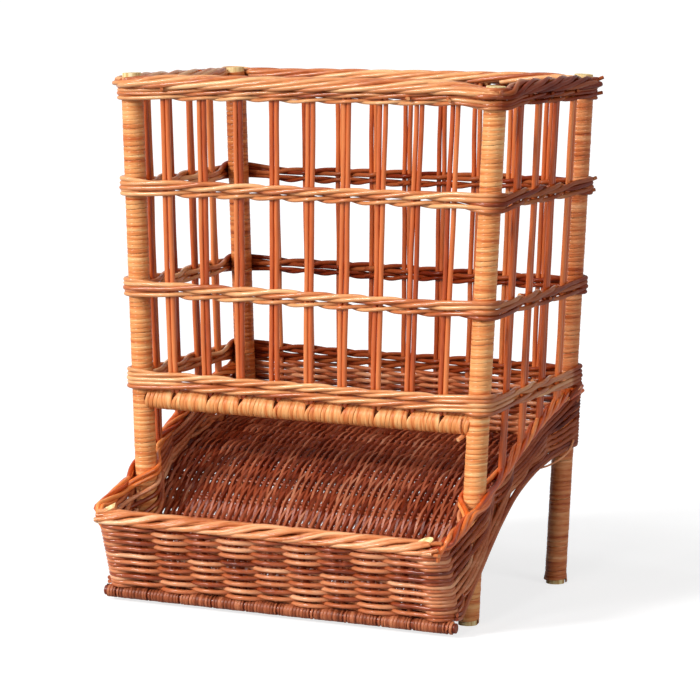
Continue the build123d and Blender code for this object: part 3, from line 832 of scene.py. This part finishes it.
def rolledBorder(places, outwards, border, seed):
    # strokes start stake by stake; their path says how they come out, climb and roll over
    at, total = alongLine(places, outwards, border["pitch"])
    found = []
    radius = border["radius"]
    first = -border["path"][-1][0] + 0.6
    starts = [first + i + beside for i in range(int(total - 0.5 - first) + 1) for beside in border["beside"]]
    for start in starts:
        stops = []
        for ahead, depth, climb in border["path"]:
            position = start + ahead
            if not -0.01 <= position <= total + 0.01:
                continue
            middle, outward = at(position)
            uneven = wander(seed + start, ahead, 0.8)
            lift = climb * (border["height"] - 2 * radius - border["dip"] * nearPost(middle))
            lift += border["bottom"] + radius + tilted(middle, border["tilt"]) + uneven - middle.z
            stops.append(middle + outward * (depth * (border["width"] - 2 * radius)) + lift * toTop)
        if len(stops) > 2:
            thick = radius * (1 + wander(seed, start * 1.7, 0.15))
            found.append((bentThrough(stops, 6.0), thick * 1.04, thick * 0.9))
    return found


def borderCore(places, outwards, border, strands, swing, turn):
    # rods that run inside a border, slowly twisted; they fill it between its strokes
    at, total = alongLine(places, outwards, border["pitch"])
    found = []
    for strand in range(strands):
        stops = []
        for step in range(int(total * 4)):
            middle, outward = at(step / 4)
            angle = 2 * math.pi * (strand / strands + step / 4 / turn)
            lift = border["bottom"] + (border["height"] - border["dip"] * nearPost(middle)) / 2 - middle.z
            lift += swing * math.sin(angle) + tilted(middle, border["tilt"])
            stops.append(middle + outward * swing * math.cos(angle) + lift * toTop)
        found.append((bentThrough(stops, 8.0), border["radius"] * 1.02, border["radius"] * 0.95))
    return found


def borderRound(z, middleOffset):
    # places all round the cage, with corners rounded about the posts
    places, outwards = [], []
    for kind, middle, outward in stations(z):
        if kind == "post":
            turn = math.atan2(outward.y, outward.x)
            for a in (-math.pi / 4, -math.pi / 8, 0, math.pi / 8, math.pi / 4):
                way = Vector((math.cos(turn + a), math.sin(turn + a), 0))
                places.append(middle + way * middleOffset)
                outwards.append(way)
        else:
            places.append(middle + outward * (middleOffset - out))
            outwards.append(outward)
    return places[2:] + places[3:7], outwards[2:] + outwards[3:7]


topBorder = {
    "pitch": 46.0, "beside": (0.0,), "bottom": 651.0, "height": 19.5, "width": 25.0, "radius": 3.3,
    "tilt": topTilt, "dip": 6.5,
    "path": ((0.0, -0.1, 0.05), (0.35, 0.32, 0.0), (0.9, 0.5, 0.10), (1.6, 0.5, 0.34), (2.3, 0.44, 0.62),
             (2.9, 0.2, 0.9), (3.5, -0.2, 0.95), (4.2, -0.44, 0.72), (5.0, -0.5, 0.42), (5.6, -0.4, 0.15)),
}
places, outwards = borderRound(661.0, 13.5)
rods = rolledBorder(places, outwards, topBorder, 3) + borderCore(places, outwards, topBorder, 3, 4.6, 5.0)
reach = postRadius + topBorder["radius"] + 0.2
rods = [([clearOfPosts(p, reach) for p in line], butt, tip) for line, butt, tip in rods]
layRods("top_border_roll", rods, willowWeft, ["top_border"])

trayPlait = {
    "pitch": 2 * tray["stickX"] / (tray["stakes"] + 1), "beside": (0.0, 0.15, 0.3), "bottom": 106.0, "height": 19.0,
    "width": 22.0, "radius": 2.9, "tilt": (0, 0), "dip": 0,
    "path": ((0.0, -0.3, 0.0), (0.3, 0.2, -0.02), (0.65, 0.5, 0.0), (1.15, 0.56, 0.14), (1.6, 0.48, 0.5),
             (2.05, 0.28, 0.9), (2.5, 0.0, 1.0), (3.0, -0.3, 0.86), (3.5, -0.5, 0.5), (3.9, -0.4, 0.2)),
}
plaitEnd = tray["stickX"] + 8
places = [Vector((plaitEnd * (i / 5 - 1), tray["borderY"], 116)) for i in range(11)]
outwards = [-toBack] * 11
rods = rolledBorder(places, outwards, trayPlait, 9) + borderCore(places, outwards, trayPlait, 3, 4.2, 4.0)
layRods("tray_border_plait", rods, willowPlait, ["tray_border"])

# Of the five strands two pass inside the front post and three outside: how far out, and how high
sideTwist = {
    "atPost": ((-17.3, -3.5), (-17.3, 3.5), (17.4, -6.0), (17.4, 0.0), (17.4, 6.0)), "nearPost": 30,
    "reach": (-104, 306, 12), "outside": 11.5, "above": 7.5, "radius": 3.1, "swing": 5.2, "turn": 130.0,
}
for word, side in (("left", -1), ("right", 1)):
    rods = []
    for strand, (held, level) in enumerate(sideTwist["atPost"]):
        # the front ends turn down behind the tray's corner
        stops = [Vector((side * (231 - 3 * strand), tray["borderY"] + 4, 97.0)),
                 Vector((side * (236 - 3.2 * strand), tray["borderY"] - 1, 109.0 + strand))]
        for reach in range(*sideTwist["reach"]):
            y = frontY + reach
            z = heightOn(chute["borderUnder"], y) + sideTwist["above"]
            angle = 2 * math.pi * (strand / len(sideTwist["atPost"]) + reach / sideTwist["turn"])
            near = math.exp(-(reach / sideTwist["nearPost"]) ** 2)
            depth = mixed(sideTwist["outside"] + sideTwist["swing"] * math.cos(angle), held, near)
            lift = mixed(sideTwist["swing"] * math.sin(angle), level, near)
            stops.append(Vector((side * (halfWidth(z) + depth), y, z + lift)))
        radius = sideTwist["radius"]
        rods.append((rodLine(stops, 5.0, radius), radius * 1.05, radius * 0.9))
    layRods(word + "_side_border_twist", rods, willowOrange, [word + "_side_border"])

# The tray's corner rods bend over in the border and are trimmed with long slanting cuts
cornerRod = {"inwards": 4.5, "heights": (16, 50, 90, 112), "endRadius": 5.4}
cornerEnds = {
    "left": (-1, ((-214, -206, 129.5), (-228, -209, 125.5), (-246, -214, 119.5)),
             ((-228, -206, 124.5), (-0.355, -0.5, 0.79))),
    "right": (1, ((196, -202, 110), (217, -209.5, 123.5), (236, -219, 138)),
              ((217, -209, 124), (-0.235, -0.82, 0.52))),
}
for word, (side, bend, cut) in cornerEnds.items():
    x, y = side * (tray["stickX"] - cornerRod["inwards"]), tray["footY"] + cornerRod["inwards"]
    line = [(x, y - (z - tray["footZ"]) * tray["lean"], z) for z in cornerRod["heights"]]
    layRods("tray_" + word + "_corner_rod", [(bentThrough(line, 12.0), 5.0, 4.8)], willowPlait,
            ["tray_" + word + "_corner_stick"], 12)
    end = (bentThrough(bend, 6.0), cornerRod["endRadius"], cornerRod["endRadius"])
    layRods("tray_" + word + "_border_end", [end], willowPlait, [], 12, cut)

# a tail of skein, a peg and a stray rod: their places, how finely they bend, and their two radii
looseEnds = (
    ([(217.5 + math.sin(a * 2), frontY - 15.2 * math.cos(a), rail["z"] + 15.2 * math.sin(a))
      for a in (-0.8, -0.5, -0.1, 0.3, 0.6)], 4.0, 1.3, 1.0),
    ([(220.5, frontY + 2, 240), (217.5, frontY - 7, 236.5), (215, frontY - 15, 233.5)], 5.0, 2.9, 2.7),
    ([(240, 100.7, 168.4), (247, 112, 171), (254, 136, 177.5), (256, 158, 185), (253, 178, 194)], 6.0, 1.2, 1.6),
)
# short cut ends that stick out of the bands and the border: their place and their way outwards
cutEnd = {"inside": 9, "outside": 5}
cutEnds = (
    ((200, -115, 652), (0.5, -0.8, -0.2)), ((-198, -114, 651), (0.4, -0.85, 0.2)),
    ((145, -115, 652), (0.5, -0.8, 0.0)), ((265, -108, 663), (0.7, -0.7, 0.1)),
    ((268, -92, 656), (0.8, -0.6, 0.0)), ((269, -29, 656), (0.8, -0.55, 0.1)),
    ((270, 40, 655), (0.8, -0.5, -0.2)), ((271, 120, 652), (0.85, -0.4, 0.2)),
    ((272, 201, 664), (0.75, 0.55, 0.35)), ((270, 203, 645), (0.8, 0.55, 0.2)),
    ((264, 204, 534), (0.75, 0.55, 0.35)), ((262, 204, 519), (0.8, 0.55, 0.2)),
    ((261, -47, 526), (0.8, -0.5, -0.2)), ((262, 22, 528), (0.8, -0.5, 0.1)),
    ((262, 90, 522), (0.8, -0.4, 0.3)), ((257, -20, 398), (0.8, -0.5, 0.1)),
    ((257, 75, 393), (0.8, -0.5, -0.2)), ((-262, 196, 640), (-0.8, 0.3, 0.4)),
    ((-268, -100, 660), (-0.9, -0.2, 0.2)),
)
rods = []
for place, way in cutEnds:
    place, way = Vector(place), Vector(way).normalized()
    rods.append(([place - way * cutEnd["inside"], place, place + way * cutEnd["outside"]], 2.5, 2.3))
layRods("cut_ends", rods, willowWeft, [])
rods = [(bentThrough(stops, step), butt, tip) for stops, step, butt, tip in looseEnds]
layRods("loose_ends", rods, willowPlait, [])
print("borders laid")

# CAD nodes that stay take their own finish
for name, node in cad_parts.items():
    material = willowPole
    if "nails" in name:
        material = nailSteel
    # the rail's pole is painted nearly black as the shade in its notches
    elif "rail" in name:
        material = shadeDarkPole
    elif "stake" in name or "stick" in name or "bar" in name:
        material = willowFloor
    node.data.materials.clear()
    node.data.materials.append(material)

# Floor, background and light

stage = {"size": 60.0, "glow": 0.75}


def backgroundRays(tree):
    # 1 for the rays that show the background: the camera's, and those sent on by gloss and glass
    ray = addNode(tree, "LightPath", {}).outputs
    share = ray["Is Camera Ray"]
    for kind in ("Is Glossy Ray", "Is Transmission Ray"):
        share = addNode(tree, "Math", {"operation": "MAXIMUM", 0: share, 1: ray[kind]}).outputs[0]
    return share


bpy.ops.object.select_all(action="DESELECT")
bpy.ops.mesh.primitive_plane_add(size=stage["size"], location=(0, 0, 0))
floor = bpy.context.object
floor.name = "studio_floor"
material, tree = newMaterial("pale_studio_paper")
grain = addNode(tree, "TexNoise", {"Scale": 60.0, "Detail": 2.0})
paper = addNode(tree, "ValToRGB", {"Fac": grain.outputs["Fac"]})
colourStops(paper, ((0.3, "#A4A4A4"), (0.7, "#AAAAAA")))
diffuse = addNode(tree, "BsdfDiffuse", {"Color": paper.outputs["Color"]})
share = addNode(tree, "Math", {"operation": "MULTIPLY", 0: backgroundRays(tree), 1: stage["glow"]})
glow = addNode(tree, "Emission", {"Color": (1, 1, 1, 1), "Strength": share.outputs[0]})
both = addNode(tree, "AddShader", {0: diffuse.outputs["BSDF"], 1: glow.outputs["Emission"]})
addNode(tree, "OutputMaterial", {"Surface": both.outputs["Shader"]})
floor.data.materials.append(material)

world = bpy.data.worlds.new("studio")
bpy.context.scene.world = world
world.use_nodes = True
tree = world.node_tree
tree.nodes.clear()
soft = addNode(tree, "Background", {"Color": (1, 1, 1, 1), "Strength": 0.12})
white = addNode(tree, "Background", {"Color": (1, 1, 1, 1), "Strength": 1.0})
seen = addNode(tree, "MixShader", {"Fac": backgroundRays(tree), 1: soft.outputs[0], 2: white.outputs[0]})
addNode(tree, "OutputWorld", {"Surface": seen.outputs["Shader"]})

# each window's azimuth, elevation and spread in degrees, and its power
lamps = {
    "key_window": (-33.0, 27.0, 13.0, 2.8),
    "strip_window": (-42.0, 7.0, 12.0, 0.8),
    "fill_window": (68.0, 20.0, 30.0, 1.0),
    "top_left_window": (-50.0, 55.0, 9.0, 0.35),
    "top_window": (-22.0, 58.0, 9.0, 0.35),
    "top_right_window": (6.0, 55.0, 9.0, 0.35),
}
for name, (azimuth, elevation, spread, power) in lamps.items():
    light = bpy.data.lights.new(name, "SUN")
    light.angle = math.radians(spread)
    light.energy = power
    holder = bpy.data.objects.new(name, light)
    bpy.context.scene.collection.objects.link(holder)
    turn, rise = math.radians(azimuth), math.radians(elevation)
    toLamp = Vector((math.sin(turn) * math.cos(rise), -math.cos(turn) * math.cos(rise), math.sin(rise)))
    holder.rotation_euler = toLamp.to_track_quat("Z", "Y").to_euler()

cameraView = {
    "place": (1.9231, -3.9946, 0.9373), "yaw": 0.4568, "pitch": 0.1370, "roll": 0.0069,
    "lens": 179.41, "shift": (0.0549, -0.0098),
}
camera = bpy.data.objects.new("camera", bpy.data.cameras.new("camera"))
bpy.context.scene.collection.objects.link(camera)
camera.data.lens = cameraView["lens"]
camera.data.sensor_width = 36.0
camera.data.shift_x, camera.data.shift_y = cameraView["shift"]
turn = (Matrix.Rotation(cameraView["yaw"], 4, "Z") @ Matrix.Rotation(math.pi / 2 - cameraView["pitch"], 4, "X")
        @ Matrix.Rotation(cameraView["roll"], 4, "Z"))
camera.matrix_world = Matrix.Translation(cameraView["place"]) @ turn
bpy.context.scene.camera = camera
bpy.context.scene.view_settings.view_transform = "Standard"

print("stage, light and camera set")
